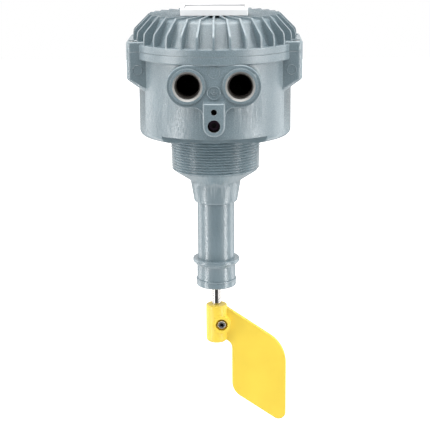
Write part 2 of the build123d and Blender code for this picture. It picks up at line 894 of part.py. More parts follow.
def shaft_circlips():
    clips = []
    for low in shaft_clip_heights():
        radius = bearing_bore / 2 - circlip_groove_depth + seat_gap
        clip = ring(bearing_bore / 2 + shaft_circlip_width, radius, low, low + circlip_thickness)
        half = shaft_circlip_opening / 2
        clips.append(clip - block(0, 2 * radius, -half, half, low, low + circlip_thickness))
    return group(clips)


def paddle_shaft():
    step = lower_bearing_height - circlip_thickness - shaft_step_length
    shaft = rod(shaft_diameter / 2, shaft_end_height, step)
    shaft += rod(bearing_bore / 2, step, shaft_top_height)
    body_low = lower_bearing_height + bearing_width
    shaft += rod(shaft_body_diameter / 2, body_low, upper_bearing_height)
    groove = bearing_bore / 2 - circlip_groove_depth
    for low in shaft_clip_heights():
        shaft -= ring(bearing_bore / 2, groove, low, low + circlip_thickness)
    notch = paddle_screw_diameter / 2 + screw_hole_gap
    return shaft - rod_along_y(notch, -hub_diameter, hub_diameter, paddle_screw_x, paddle_screw_height)


def dogs(start_angle):
    """Two coupling dogs opposite each other."""
    ring_part = ring(coupling_diameter / 2, coupling_dog_bore / 2, shaft_top_height, dog_end)
    reach = coupling_diameter
    half = radians(coupling_dog_angle / 2)
    far, side = reach * cos(half), reach * sin(half)
    wedge = outline([(0, 0), (far, -side), (far, side)])
    keep = Pos(0, 0, shaft_top_height) * extrude(wedge, coupling_dog_height)
    return [ring_part & (Rot(0, 0, start_angle + turn) * keep) for turn in (0, 180)]


def lower_coupling():
    sleeve = ring(coupling_diameter / 2, bearing_bore / 2, coupling_start, shaft_top_height)
    for dog in dogs(0):
        sleeve += dog
    return sleeve


def upper_coupling():
    sleeve = ring(coupling_diameter / 2, output_shaft_diameter / 2, dog_end, coupling_end)
    for dog in dogs(90):
        sleeve += dog
    return sleeve


def output_shaft():
    low, high = shaft_top_height + moving_gap, carrier_top + output_shaft_engagement
    return rod(output_shaft_diameter / 2, low, high)


def vane():
    """Flat vane with two slanted edges, cut from a parallelogram with rounded corners."""
    slope = tan(radians(vane_slope))
    outer_top = vane_root_height - (vane_outer_x - vane_root_x) * slope
    outer_low = vane_low_height - (vane_outer_x - vane_low_x) * slope
    inner_low = vane_low_height + (vane_low_x - vane_inner_x) * slope
    join_x = hub_diameter / 2 - vane_joint_depth
    join_height = vane_root_height + (vane_root_x - join_x) * slope
    throat = hub_end_height - vane_throat_gap
    throat_top = throat + (vane_inner_x - vane_throat_x) * vane_throat_rise
    points = [
        (join_x, join_height), (vane_outer_x, outer_top), (vane_outer_x, outer_low),
        (vane_inner_x, inner_low), (vane_inner_x, throat), (vane_throat_x, throat_top),
    ]
    rounds = {
        (vane_outer_x, outer_top): vane_outer_round, (vane_outer_x, outer_low): vane_tip_round,
        (vane_inner_x, inner_low): vane_inner_round, (vane_inner_x, throat): vane_throat_round,
    }
    plate = along_y(points, vane_thickness / 2, rounds)
    faces = plate.faces().filter_by(Axis.Y)
    return fillet(faces.edges(), vane_edge_round)


def paddle():
    radius = hub_diameter / 2
    body = turned(
        [(0, hub_end_height), (radius, hub_end_height), (radius, hub_top_height), (0, hub_top_height)],
        {(radius, hub_end_height): hub_end_round},
    )
    half = paddle_boss_half_length
    boss = rod_along_y(paddle_boss_diameter / 2, -half, half, paddle_screw_x, paddle_screw_height)
    body += boss
    body += vane()
    body -= rod(shaft_diameter / 2 + seat_gap, shaft_end_height, hub_top_height)
    hole = paddle_screw_diameter / 2 + screw_hole_gap
    body -= rod_along_y(hole, -half, half, paddle_screw_x, paddle_screw_height)
    seat = paddle_counterbore_depth - half
    body -= rod_along_y(paddle_counterbore_diameter / 2, -half, seat, paddle_screw_x, paddle_screw_height)
    return body - nut_prism(half - nut_height, half, nut_across_flats + 2 * seat_gap)


def nut_prism(front, back, across_flats):
    """Hexagon along Y, centred on the paddle screw."""
    hexagon = RegularPolygon(across_flats / 2, 6, major_radius=False)
    prism = extrude(Plane.XZ * hexagon, back - front)
    return Pos(paddle_screw_x, back, paddle_screw_height) * prism


def paddle_nut():
    back = paddle_boss_half_length
    nut = nut_prism(back - nut_height, back, nut_across_flats)
    bore = paddle_screw_diameter / 2 + seat_gap
    return nut - rod_along_y(bore, back - nut_height, back, paddle_screw_x, paddle_screw_height)


def paddle_screw():
    x, z = paddle_screw_x, paddle_screw_height
    seat = paddle_counterbore_depth - paddle_boss_half_length
    head_front = seat - paddle_screw_head_height
    body = rod_along_y(paddle_screw_diameter / 2, seat, paddle_boss_half_length - moving_gap, x, z)
    body += rod_along_y(paddle_screw_head_diameter / 2, head_front, seat, x, z)
    key = extrude(Plane.XZ * RegularPolygon(paddle_screw_key / 2, 6), paddle_screw_key_depth)
    return body - Pos(x, head_front + paddle_screw_key_depth, z) * key


def outer_earth_screw():
    z = lug_hole_height
    front = earth_screw_seat - earth_screw_head_height
    tip = earth_screw_seat + earth_screw_length - moving_gap
    body = rod_along_y(earth_screw_diameter / 2, earth_screw_seat, tip, 0, z)
    body += rod_along_y(earth_screw_head_diameter / 2, front, earth_screw_seat, 0, z)
    key = extrude(Plane.XZ * RegularPolygon(earth_screw_key / 2, 6), earth_screw_key_depth)
    return body - Pos(0, front + earth_screw_key_depth, z) * key


def chassis_plate():
    plate = rod(chassis_radius, chassis_height, chassis_top)
    plate -= rod(bush_diameter / 2 + seat_gap, chassis_height, chassis_top)
    for x, y in screw_places(pillar_circle, 4, 45):
        plate -= rod(chassis_screw_diameter / 2 + screw_hole_gap, chassis_height, chassis_top, x, y)
    return plate


def chassis_screws():
    return group([
        screw(x, y, chassis_top, chassis_screw_diameter, chassis_screw_length,
              chassis_screw_head_diameter, chassis_screw_head_height)
        for x, y in screw_places(pillar_circle, 4, 45)
    ])


def pivot_bush():
    bush = ring(bush_diameter / 2, bush_bore / 2, chassis_height, bush_top)
    top = chassis_top + bush_flange_thickness
    return bush + ring(bush_flange_diameter / 2, bush_bore / 2, chassis_top, top)


def motor_carrier():
    plate = rod(carrier_radius, carrier_bottom, carrier_top)
    ear = motor_ear_width / 2
    plate += block(-motor_ear_reach, motor_ear_reach, -ear, ear, carrier_bottom, carrier_top)
    spring_arm = spring_x + spring_post_diameter
    far = spring_carrier_y + spring_post_diameter
    plate += block(0, spring_arm, 0, far, carrier_bottom, carrier_top)
    arm = carrier_arm_width / 2
    plate += block(trip_post_x - arm, trip_post_x + arm, 0, carrier_arm_reach, carrier_bottom, carrier_top)
    hub_low = chassis_top + bush_flange_thickness + moving_gap
    plate += rod(carrier_hub_diameter / 2, hub_low, carrier_bottom)
    plate -= rod(bush_diameter / 2 + running_gap, hub_low, carrier_bottom)
    plate -= rod(coupling_diameter / 2 + coupling_gap, carrier_bottom, carrier_top)
    for side in (-1, 1):
        hole = motor_screw_diameter / 2 + seat_gap
        plate -= rod(hole, carrier_bottom, carrier_top, side * motor_screw_x)
    plate -= rod(trip_post_diameter / 2, carrier_bottom, carrier_top, trip_post_x, trip_post_y)
    return plate - rod(spring_post_diameter / 2, carrier_bottom, carrier_top, spring_x, spring_carrier_y)


def trip_post():
    return rod(trip_post_diameter / 2, carrier_bottom, trip_post_top, trip_post_x, trip_post_y)


def carrier_spring_post():
    return rod(spring_post_diameter / 2, carrier_bottom, spring_post_top, spring_x, spring_carrier_y)


def chassis_spring_post():
    post = rod(spring_post_diameter / 2, chassis_top, spring_post_top, spring_x, spring_chassis_y)
    foot_top = chassis_top + spring_post_foot
    return post + rod(spring_post_diameter, chassis_top, foot_top, spring_x, spring_chassis_y)


def gearbox():
    case = rod(gearbox_diameter / 2, carrier_top, gearbox_top)
    ear = motor_ear_width / 2
    ear_top = carrier_top + motor_ear_thickness
    ears = block(-motor_ear_reach, motor_ear_reach, -ear, ear, carrier_top, ear_top)
    ears = fillet(ears.edges().filter_by(Axis.Z), ear - moving_gap)
    case += ears
    for side in (-1, 1):
        case -= rod(motor_screw_diameter / 2 + seat_gap, carrier_top, ear_top, side * motor_screw_x)
    depth = carrier_top + output_shaft_engagement + moving_gap
    return case - rod(output_shaft_diameter / 2 + running_gap, carrier_top, depth)


def motor():
    can = rod(motor_diameter / 2, gearbox_top, motor_top)
    can = fillet(can.edges().group_by(Axis.Z)[-1], motor_edge_round)
    cap_radius = motor_cap_share * motor_diameter / 2
    return can + rod(cap_radius, motor_top, motor_top + motor_cap_height)


def motor_screws():
    seat = carrier_top + motor_ear_thickness
    length = carrier_thickness + motor_ear_thickness
    return group([
        screw(side * motor_screw_x, 0, seat, motor_screw_diameter, length, motor_screw_head_diameter,
              motor_screw_head_height)
        for side in (-1, 1)
    ])


def swing_stops():
    """Pins beside the arm, clear of it by the moving gap at each end of the swing."""
    radius = stop_pin_diameter / 2
    reach = trip_post_y + stop_pin_offset
    offset = carrier_arm_width / 2 + moving_gap + radius
    rest = rod(radius, chassis_top, chassis_top + stop_pin_height, trip_post_x + offset, reach)
    limit = rod(radius, chassis_top, chassis_top + stop_pin_height, trip_post_x - offset, reach)
    return group([rest, Rot(0, 0, swing_angle) * limit])


def torque_spring():
    """Coil shown as a stack of turns, with an eye round each post."""
    eye = spring_post_diameter / 2 + spring_wire
    start = spring_chassis_y + eye
    end = spring_carrier_y - eye
    radius = spring_coil_diameter / 2
    pitch = (end - start) / spring_turns
    points = [(0, start)]
    for turn in range(spring_turns):
        points.append((radius - spring_wire, start + turn * pitch))
        points.append((radius, start + (turn + 0.5) * pitch))
    points += [(radius - spring_wire, end), (0, end)]
    coil = revolve(make_face(Polyline(*points, close=True)), Axis.Y)
    coil = Pos(spring_x, 0, spring_height) * coil
    for y in (spring_chassis_y, spring_carrier_y):
        hook = Cylinder(eye + spring_wire / 2, spring_wire) - Cylinder(eye - spring_wire / 2, spring_wire)
        coil += Pos(spring_x, y, spring_height) * hook
    return coil


def switch_screw_places():
    x = switch_face_x - switch_screw_depth_share * switch_depth
    return [(x, switch_inner_y + switch_screw_inset), (x, switch_outer_y - switch_screw_inset)]


def switch_case(low):
    case = block(switch_back_x, switch_face_x, switch_inner_y, switch_outer_y, low, low + switch_height)
    for x, y in switch_screw_places():
        case -= rod(switch_screw_diameter / 2 + seat_gap, low, low + switch_height, x, y)
    middle = low + switch_height / 2
    half_width, half_thickness = switch_tab_width / 2, switch_tab_thickness / 2
    tab_end = switch_back_x - switch_tab_length
    ends = (switch_inner_y + switch_tab_inset, switch_outer_y - switch_tab_inset)
    for y in (ends[0], ends[1], (ends[0] + ends[1]) / 2):
        case += block(tab_end, switch_back_x, y - half_width, y + half_width,
                      middle - half_thickness, middle + half_thickness)
    half_cheek = switch_cheek / 2
    reach = lever_width / 2 + switch_cheek_gap
    for side in (-1, 1):
        z0, z1 = sorted((middle + side * reach, middle + side * (reach + switch_cheek_thickness)))
        case += block(switch_face_x, lever_pivot_x + half_cheek, lever_pivot_y - half_cheek,
                      lever_pivot_y + half_cheek, z0, z1)
    return case + rod(lever_pin_diameter / 2, middle - reach, middle + reach, lever_pivot_x, lever_pivot_y)


def lever_rest_angle():
    """Lean of the lever that leaves the moving gap to the trip post."""
    across, along = trip_post_x - lever_pivot_x, lever_pivot_y - trip_post_y
    clearance = trip_post_diameter / 2 + lever_thickness / 2 + moving_gap
    distance = sqrt(across ** 2 + along ** 2)
    return degrees(atan(across / along) - asin(clearance / distance))


def lever(low):
    """Thin lever on the switch's pin, leaning away from the case at rest."""
    middle = low + switch_height / 2
    half = lever_width / 2
    eye = rod(lever_eye_diameter / 2, middle - half, middle + half)
    blade = block(-lever_thickness / 2, lever_thickness / 2, -lever_length, 0, middle - half, middle + half)
    arm = Rot(0, 0, lever_rest_angle()) * (eye + blade)
    arm -= rod(lever_pin_diameter / 2 + running_gap, middle - half, middle + half)
    return Pos(lever_pivot_x, lever_pivot_y, 0) * arm


def switch_pedestal():
    body = block(switch_back_x, switch_face_x, switch_inner_y, switch_outer_y, chassis_top, pedestal_top)
    for x, y in switch_screw_places():
        body -= rod(switch_screw_diameter / 2 + seat_gap, chassis_top, pedestal_top, x, y)
    return body


def switch_screws():
    length = switch_stack_top - chassis_top - switch_screw_tip_gap
    return group([
        screw(x, y, switch_stack_top, switch_screw_diameter, length, switch_screw_head_diameter,
              switch_screw_head_height)
        for x, y in switch_screw_places()
    ])


def terminal_places():
    return [terminal_pitch * (index + 0.5 - terminal_ways / 2) for index in range(terminal_ways)]


def terminal_block():
    half = terminal_half_length
    body = block(-half, half, terminal_front_y, terminal_back_y, chassis_top, terminal_top)
    way = (terminal_pitch - terminal_rib) / 2
    well = terminal_top - terminal_recess
    mouth_back = terminal_front_y + terminal_mouth
    for x in terminal_places():
        well_back = terminal_back_y - terminal_rib
        body -= block(x - way, x + way, terminal_front_y, well_back, well, terminal_top)
        body -= block(x - way, x + way, terminal_front_y, mouth_back,
                      chassis_top + terminal_mouth, terminal_top - terminal_mouth)
    for x in (-terminal_fixing_x, terminal_fixing_x):
        body -= rod(terminal_screw_diameter / 2 + seat_gap, chassis_top, terminal_top, x, terminal_middle_y)
    return body


def terminal_screws():
    seat = terminal_top - terminal_recess
    top = seat + terminal_screw_head_height
    radius = terminal_screw_head_diameter / 2
    slot = terminal_slot_width / 2
    return group([
        rod(radius, seat, top, x, terminal_middle_y)
        - block(x - radius, x + radius, terminal_middle_y - slot, terminal_middle_y + slot,
                top - terminal_slot_depth, top)
        for x in terminal_places()
    ])


def terminal_fixings():
    return group([
        screw(x, terminal_middle_y, terminal_top, terminal_screw_diameter,
              terminal_height - terminal_tip_gap, terminal_fixing_head, terminal_screw_head_height)
        for x in (-terminal_fixing_x, terminal_fixing_x)
    ])


def inner_earth_screw():
    seat = chassis_top + inner_earth_washer_thickness
    washer = rod(inner_earth_washer / 2, chassis_top, seat, inner_earth_x, inner_earth_y)
    return washer + screw(inner_earth_x, inner_earth_y, seat, inner_earth_shank, inner_earth_shank_length,
                          inner_earth_head, inner_earth_head_height)


def build():
    nodes = {
        "housing": housing(),
        "cover": cover(),
        "cover_gasket": cover_gasket(),
        "cover_screws": cover_screws(),
        "label_holder": label_holder(),
        "label_plate": label_plate(),
        "process_connection": process_connection(),
        "neck_gasket": neck_gasket(),
        "neck_screws": neck_screws(),
        "extension_tube": extension_tube(),
        "tube_plug": tube_plug(),
        "bearing_carrier": bearing_carrier(),
        "end_cap": end_cap(),
        "cap_screws": cap_screws(),
        "shaft_seal": shaft_seal(),
        "upper_outer_race": outer_race(upper_bearing_height),
        "lower_outer_race": outer_race(lower_bearing_height),
        "upper_inner_race": inner_race(upper_bearing_height),
        "lower_inner_race": inner_race(lower_bearing_height),
        "bearing_balls": bearing_balls(),
        "bore_circlips": bore_circlips(),
        "shaft_circlips": shaft_circlips(),
        "paddle_shaft": paddle_shaft(),
        "lower_coupling": lower_coupling(),
        "upper_coupling": upper_coupling(),
        "output_shaft": output_shaft(),
        "paddle": paddle(),
        "paddle_screw": paddle_screw(),
        "paddle_nut": paddle_nut(),
        "outer_earth_screw": outer_earth_screw(),
        "chassis_plate": chassis_plate(),
        "chassis_screws": chassis_screws(),
        "pivot_bush": pivot_bush(),
        "motor_carrier": motor_carrier(),
        "trip_post": trip_post(),
        "carrier_spring_post": carrier_spring_post(),
        "chassis_spring_post": chassis_spring_post(),
        "gearbox": gearbox(),
        "motor": motor(),
        "motor_screws": motor_screws(),
        "swing_stops": swing_stops(),
        "torque_spring": torque_spring(),
        "switch_pedestal": switch_pedestal(),
        "signal_switch": switch_case(signal_switch_height),
        "stop_switch": switch_case(stop_switch_height),
        "signal_lever": lever(signal_switch_height),
        "stop_lever": lever(stop_switch_height),
        "switch_screws": switch_screws(),
        "terminal_block": terminal_block(),
        "terminal_screws": terminal_screws(),
        "terminal_fixings": terminal_fixings(),
        "inner_earth_screw": inner_earth_screw(),
    }
    os.makedirs("parts", exist_ok=True)
    for name, shape in nodes.items():
        export_step(shape, f"parts/{name}.step")


build()
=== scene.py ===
"""Rotary paddle level switch: painted castings, machined entries, stainless shaft, moulded paddle."""
import json
from math import atan, cos, pi, radians, sin, sqrt

import bmesh
import bpy
from mathutils import Matrix, Vector


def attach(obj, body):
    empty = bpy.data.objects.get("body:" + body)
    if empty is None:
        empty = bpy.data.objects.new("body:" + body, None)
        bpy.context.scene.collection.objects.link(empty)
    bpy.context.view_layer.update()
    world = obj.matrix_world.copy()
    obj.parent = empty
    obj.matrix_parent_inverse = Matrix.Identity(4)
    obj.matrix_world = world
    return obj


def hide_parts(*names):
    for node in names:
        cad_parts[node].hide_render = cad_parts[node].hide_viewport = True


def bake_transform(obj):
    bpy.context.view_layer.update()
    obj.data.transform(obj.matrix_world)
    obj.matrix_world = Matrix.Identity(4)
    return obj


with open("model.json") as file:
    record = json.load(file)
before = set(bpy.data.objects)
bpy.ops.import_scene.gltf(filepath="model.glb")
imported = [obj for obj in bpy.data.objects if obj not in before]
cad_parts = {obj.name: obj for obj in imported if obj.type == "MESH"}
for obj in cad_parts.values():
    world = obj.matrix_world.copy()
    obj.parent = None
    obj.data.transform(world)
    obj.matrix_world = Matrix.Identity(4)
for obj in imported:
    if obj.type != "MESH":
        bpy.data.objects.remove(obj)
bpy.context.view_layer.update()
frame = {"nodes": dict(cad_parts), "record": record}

MM = 0.001

# Camera of the photograph
PICTURE_SIDE = 430
FOCAL_PIXELS = 1275.0
SENSOR_MM = 36.0
CAMERA_DISTANCE = 1.0625
CAMERA_HEIGHT = 0.1998
CAMERA_TILT = 14.37
CAMERA_AZIMUTH = 0.85
CAMERA_ROLL = 0.42
AXIS_PIXELS_RIGHT = 1.0

# Studio
FLOOR_HEIGHT = -1.5
FLOOR_HALF = 12.0
WORLD_FRONT = 0.12
WORLD_DIFFUSE = 0.70
PATCH_FULL = -0.96
PATCH_END = -0.55
FLOOR_WHITE = 0.85
STRIP_AZIMUTH = 63.0
STRIP_DISTANCE = 1.5
STRIP_SIZE = (0.3, 2.7)
STRIP_HEIGHT = -0.1
STRIP_POWER = 16.5
RIM_AZIMUTH = 118.0
RIM_POWER = 10.0
RIM_SIZE = (0.7, 2.7)
OVERHEAD_PLACE = (0.0, -0.4, 1.6)
OVERHEAD_SIZE = (2.4, 2.0)
OVERHEAD_POWER = 45.0

# Castings, in millimetres and degrees
CASTING_SMOOTH = 18.0
TURNED_SMOOTH = 30.0
CAST_IN = 0.3
SEAM_HEIGHT = 71.8
SEAM_INNER = 62.0
SEAM_EASE = 0.4
THREAD_LENGTH = 31.1
THREAD_PITCH = 2.309
THREAD_DEPTH = 1.479
THREAD_START_RADIUS = 38.017
THREAD_TAPER = 1 / 32
THREAD_SUNK = 0.3
THREAD_BAND_INNER = 34.0
THREAD_TOP = 1.0
THREAD_END_STEP = 0.25
THREAD_SMOOTH = 50.0
NEAR = 0.1
TUBE_RADIUS = 15.75
PLUG_RADIUS = 4.3
PLUG_BEAD = 0.22
PLUG_SUNK = 0.1
PLUG_HEIGHT = -84.0

# Cable entries, ground lug and marks on the pad
ENTRY_X = 20.9
ENTRY_HEIGHT = 48.7
ENTRY_FRONT = -67.2
ENTRY_BORE = 9.5
ENTRY_MOUTH = 11.9
# Radius in mm inside which the entry bores are painted near-black, as painted shade
ENTRY_SHADE_EDGE = 10.3
ENTRY_PITCH = 1.5
ENTRY_THREAD_DEPTH = 0.5
ENTRY_THREAD_BACK = -53.0
ENTRY_BACK = -45.0
LUG_BORES_HALF = 5.2
LUG_BORES_FRONT = -74.9
LUG_BORES_BACK = -60.0
LUG_BORES_LOW = 13.0
LUG_BORES_TOP = 32.0
PAD_FACE = -66.0
EARTH_MARK_HEIGHT = 43.5
EARTH_RING = (5.1, 0.9, 0.6)
EARTH_STEM = (1.5, 0.7, 2.8)
EARTH_BARS = ((0.0, 5.4), (1.2, 3.6), (2.4, 1.8))
EARTH_BAR_HEIGHT = 0.6
EARTH_RISE = 0.6
PAD_MARK_HEIGHT = 59.8
PAD_MARK = (4.6, 0.6, 0.3)
EAR_MARK_PLACE = (62.5, -31.0, 57.0)
EAR_MARK = (3.9, 0.6, 0.3)
EAR_ROOTS = ((55.43, 30.99, 1.8), (60.53, 30.99, 0.7))

# Label tray and screws
TRAY_HALF_X = 27.5
TRAY_HALF_Y = 25.0
TRAY_LOW = 100.2
TRAY_TOP = 105.4
TRAY_CORNER = 1.2
TRAY_WALL = 2.3
TRAY_DRAFT = 0.2
TRAY_RECESS = 2.5
TRAY_ROUND = 0.3
PLATE_GAP = 0.3
PLATE_CORNER = 0.8
PLATE_ROUND = 0.12
PLATE_TOP = 103.5
COVER_SCREW_X = 65.5
COVER_SCREW_Y = 19.99

# Each screw's head height along its axis, depth and reach of its key socket, and its crown
COVER_SCREW_HEAD = (79.2, 3.0, 2.5, 0.4)
PADDLE_SCREW = (4.45, -169.1)
PADDLE_SCREW_HEAD = (-9.6, 2.2, 2.3, 1.1)
EARTH_SCREW = (0.0, 18.4)
EARTH_SCREW_HEAD = (-70.0, 2.5, 2.8, 0.3)

# Paddle and spring
PADDLE_EASE = 0.4
HUB_RIM_INNER = 6.0
HUB_ROUND = 1.0

# Enamel: its greys, how many clouds, swells, grains and specks lie in a metre, and its clear coat
ENAMEL_DARK = (0.132, 0.181, 0.206)
ENAMEL_LIGHT = (0.154, 0.209, 0.236)
CLOUDS = 45.0
SWELLS = 300.0
GRAINS = 1600.0
SPECKS = 1450.0
COAT_ROUGHNESS = 0.1
COAT_IOR = 2.2


def piece(name, bm, material, smooth=35.0):
    """Make a bmesh a finished piece: doubles merged, faces outwards, smooth between sharp edges."""
    bmesh.ops.remove_doubles(bm, verts=bm.verts, dist=0.000002)
    bmesh.ops.recalc_face_normals(bm, faces=bm.faces)
    mesh = bpy.data.meshes.new(name)
    bm.to_mesh(mesh)
    bm.free()
    mesh.materials.append(material)
    mesh.shade_smooth()
    mesh.set_sharp_from_angle(angle=radians(smooth))
    made = bpy.data.objects.new(name, mesh)
    bpy.context.scene.collection.objects.link(made)
    modifier = made.modifiers.new("weighted", "WEIGHTED_NORMAL")
    modifier.keep_sharp = True
    return made


def stands_for(made, node, body="frame"):
    """The piece rides on the body and takes the solid's place."""
    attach(made, body)
    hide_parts(node)


def trim_of(made, body="frame"):
    """The piece rides on the body beside what the solids show."""
    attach(made, body)


def merged_solid(node):
    """Bmesh of a solid's loose triangles, merged."""
    bm = bmesh.new()
    bm.from_mesh(frame["nodes"][node].data)
    bmesh.ops.remove_doubles(bm, verts=bm.verts, dist=0.000002)
    bmesh.ops.dissolve_limit(bm, angle_limit=radians(0.5), verts=bm.verts, edges=bm.edges)
    return bm


def bevelled(bm, edges, size, segments, clamp=True):
    """Round edges, or ease them with one segment, by a size in mm."""
    bmesh.ops.bevel(bm, geom=edges, offset=size * MM, offset_type="OFFSET", segments=segments, profile=0.5,
                    affect="EDGES", material=-1, clamp_overlap=clamp)


def rounded(points, rounds, steps=6):
    """A profile of (radius, height) points with some of its corners rounded."""
    path = []
    for index, point in enumerate(points):
        if index not in rounds:
            path.append(point)
            continue
        corner = Vector(point)
        before = Vector(points[index - 1]) - corner
        after = Vector(points[index + 1]) - corner
        half = before.angle(after) / 2
        reach = rounds[index] * cos(half) / sin(half)
        start = corner + before.normalized() * reach
        end = corner + after.normalized() * reach
        for step in range(steps + 1):
            share = step / steps
            curve = (1 - share) ** 2 * start + 2 * share * (1 - share) * corner + share ** 2 * end
            path.append((curve.x, curve.y))
    return path


def spin_profile(bm, points, steps):
    """Revolve a profile of (radius, height) points in millimetres about the vertical axis."""
    verts = [bm.verts.new((radius * MM, 0, height * MM)) for radius, height in points]
    edges = [bm.edges.new(pair) for pair in zip(verts, verts[1:])]
    bmesh.ops.spin(bm, geom=verts + edges, cent=(0, 0, 0), axis=(0, 0, 1), angle=2 * pi, steps=steps,
                   use_merge=True, use_duplicate=False)


def facing_front(bm, x, y, z):
    """Turn a bmesh made round the vertical axis to point at the front, and move it there, in mm."""
    bmesh.ops.rotate(bm, verts=bm.verts, cent=(0, 0, 0), matrix=Matrix.Rotation(radians(90), 3, "X"))
    bmesh.ops.translate(bm, verts=bm.verts, vec=(x * MM, y * MM, z * MM))


def join(bm, other):
    """Add another bmesh to this one."""
    mesh = bpy.data.meshes.new("joined")
    other.to_mesh(mesh)
    other.free()
    bm.from_mesh(mesh)
    bpy.data.meshes.remove(mesh)


def helix(bm, radius, depth, pitch, low, high, taper=0.0, steps=120):
    """Thread surface between two heights in mm, swept as a screw; a negative depth cuts inwards."""
    tooth = [(0.0, 1.0), (0.09, 0.93), (0.41, 0.07), (0.5, 0.0), (0.59, 0.07), (0.91, 0.93)]
    turns = int((high - low) / pitch) + 3
    verts = []
    for turn in range(turns):
        for share, cut in tooth:
            height = high + pitch * (1.5 - turn - share)
            verts.append(bm.verts.new(((radius - depth * cut) * MM, 0, height * MM)))
    edges = [bm.edges.new(pair) for pair in zip(verts, verts[1:])]
    bmesh.ops.spin(bm, geom=verts + edges, cent=(0, 0, 0), axis=(0, 0, 1), angle=2 * pi, steps=steps,
                   dvec=(0, 0, pitch * MM / steps), use_merge=False, use_duplicate=False)
    bmesh.ops.remove_doubles(bm, verts=bm.verts, dist=0.000005)
    for vert in bm.verts:
        reach = vert.co.xy.length
        shift = taper * (vert.co.z - high * MM)
        vert.co.xy *= (reach + shift) / reach
    for height, outwards in ((low, -1), (high, 1)):
        geom = list(bm.verts) + list(bm.edges) + list(bm.faces)
        bmesh.ops.bisect_plane(bm, geom=geom, plane_co=(0, 0, height * MM), plane_no=(0, 0, outwards),
                               clear_outer=True)


def close_inside(bm, radius):
    """Turn an open sleeve into a ring: its rims are drawn in to a radius in mm and bridged."""
    rims = [edge for edge in bm.edges if edge.is_boundary]
    drawn = bmesh.ops.extrude_edge_only(bm, edges=rims)["geom"]
    for vert in drawn:
        if isinstance(vert, bmesh.types.BMVert):
            vert.co.xy *= radius * MM / vert.co.xy.length
    inner = [edge for edge in bm.edges if edge.is_boundary]
    bmesh.ops.bridge_loops(bm, edges=inner)


# Materials

def material_nodes(name):
    """A node material with its shader."""
    material = bpy.data.materials.new(name)
    material.use_nodes = True
    return material, material.node_tree, material.node_tree.nodes["Principled BSDF"]


def noise(tree, scale, detail=2.0, roughness=0.5, stretch=None):
    """Noise in Object coordinates, the scale in features per metre."""
    place = tree.nodes.new("ShaderNodeTexCoord").outputs["Object"]
    if stretch:
        mapping = tree.nodes.new("ShaderNodeMapping")
        mapping.inputs["Scale"].default_value = stretch
        tree.links.new(place, mapping.inputs["Vector"])
        place = mapping.outputs["Vector"]
    texture = tree.nodes.new("ShaderNodeTexNoise")
    texture.inputs["Scale"].default_value = scale
    texture.inputs["Detail"].default_value = detail
    texture.inputs["Roughness"].default_value = roughness
    tree.links.new(place, texture.inputs["Vector"])
    return texture.outputs["Fac"]


def between(tree, source, low, high, first, second):
    """Map a noise's range to two colours, or to two greys for a plain value."""
    node = tree.nodes.new("ShaderNodeValToRGB")
    for element, place, colour in zip(node.color_ramp.elements, (low, high), (first, second)):
        element.position = place
        element.color = (*colour, 1) if isinstance(colour, tuple) else (colour, colour, colour, 1)
    tree.links.new(source, node.inputs["Fac"])
    return node.outputs["Color"]


def bump(tree, height, distance, under=None):
    """Bump of a height in metres, over another normal."""
    node = tree.nodes.new("ShaderNodeBump")
    node.inputs["Distance"].default_value = distance
    tree.links.new(height, node.inputs["Height"])
    if under is not None:
        tree.links.new(under, node.inputs["Normal"])
    return node.outputs["Normal"]


def soft_edges(tree, radius):
    """Normals rounded at the edges, as enamel or a mould leaves them."""
    node = tree.nodes.new("ShaderNodeBevel")
    node.samples = 6
    node.inputs["Radius"].default_value = radius
    return node.outputs["Normal"]


def enamel(name, peel, speck, edge, gloss=1.0, tone=1.0):
    """Blue-grey enamel: a share of orange peel and of gloss-thinning specks, an edge round in metres, and a
    tone that scales its greys; tones above the castings' make lighter copies as painted light.
    """
    material, tree, shader = material_nodes(name)
    cloud = noise(tree, CLOUDS, 3.0)
    paints = [tuple(tone * part for part in paint) for paint in (ENAMEL_DARK, ENAMEL_LIGHT)]
    full, thin = gloss, gloss * (1.0 - 0.75 * speck)
    colour = between(tree, cloud, 0.3, 0.7, *paints)
    tree.links.new(colour, shader.inputs["Base Color"])
    swell = bump(tree, noise(tree, SWELLS, 1.0), 0.0001 * peel, soft_edges(tree, edge))
    grain = bump(tree, noise(tree, GRAINS, 1.0), 0.0002 * peel, swell)
    specks = noise(tree, SPECKS, 2.0)
    tree.links.new(grain, shader.inputs["Normal"])
    tree.links.new(grain, shader.inputs["Coat Normal"])
    tree.links.new(between(tree, cloud, 0.3, 0.7, 0.36, 0.46), shader.inputs["Roughness"])
    tree.links.new(between(tree, specks, 0.4, 0.6, thin, full), shader.inputs["Coat Weight"])
    dull = COAT_ROUGHNESS + 0.22 * speck
    tree.links.new(between(tree, specks, 0.4, 0.6, dull, COAT_ROUGHNESS), shader.inputs["Coat Roughness"])
    shader.inputs["Coat IOR"].default_value = COAT_IOR
    return material


def plastic(name, colour, roughness, grain=0.00002, edge=0.0004, coat=0.0):
    """Moulded plastic with slight clouding and a fine grain."""
    material, tree, shader = material_nodes(name)
    cloud = noise(tree, 40.0, 3.0)
    darker = tuple(0.93 * part for part in colour)
    tree.links.new(between(tree, cloud, 0.3, 0.7, darker, colour), shader.inputs["Base Color"])
    normal = bump(tree, noise(tree, 1400.0, 2.0), grain, soft_edges(tree, edge))
    tree.links.new(normal, shader.inputs["Normal"])
    tree.links.new(between(tree, cloud, 0.3, 0.7, roughness, roughness + 0.08), shader.inputs["Roughness"])
    shader.inputs["Coat Weight"].default_value = coat
    shader.inputs["Coat Roughness"].default_value = 0.2
    return material


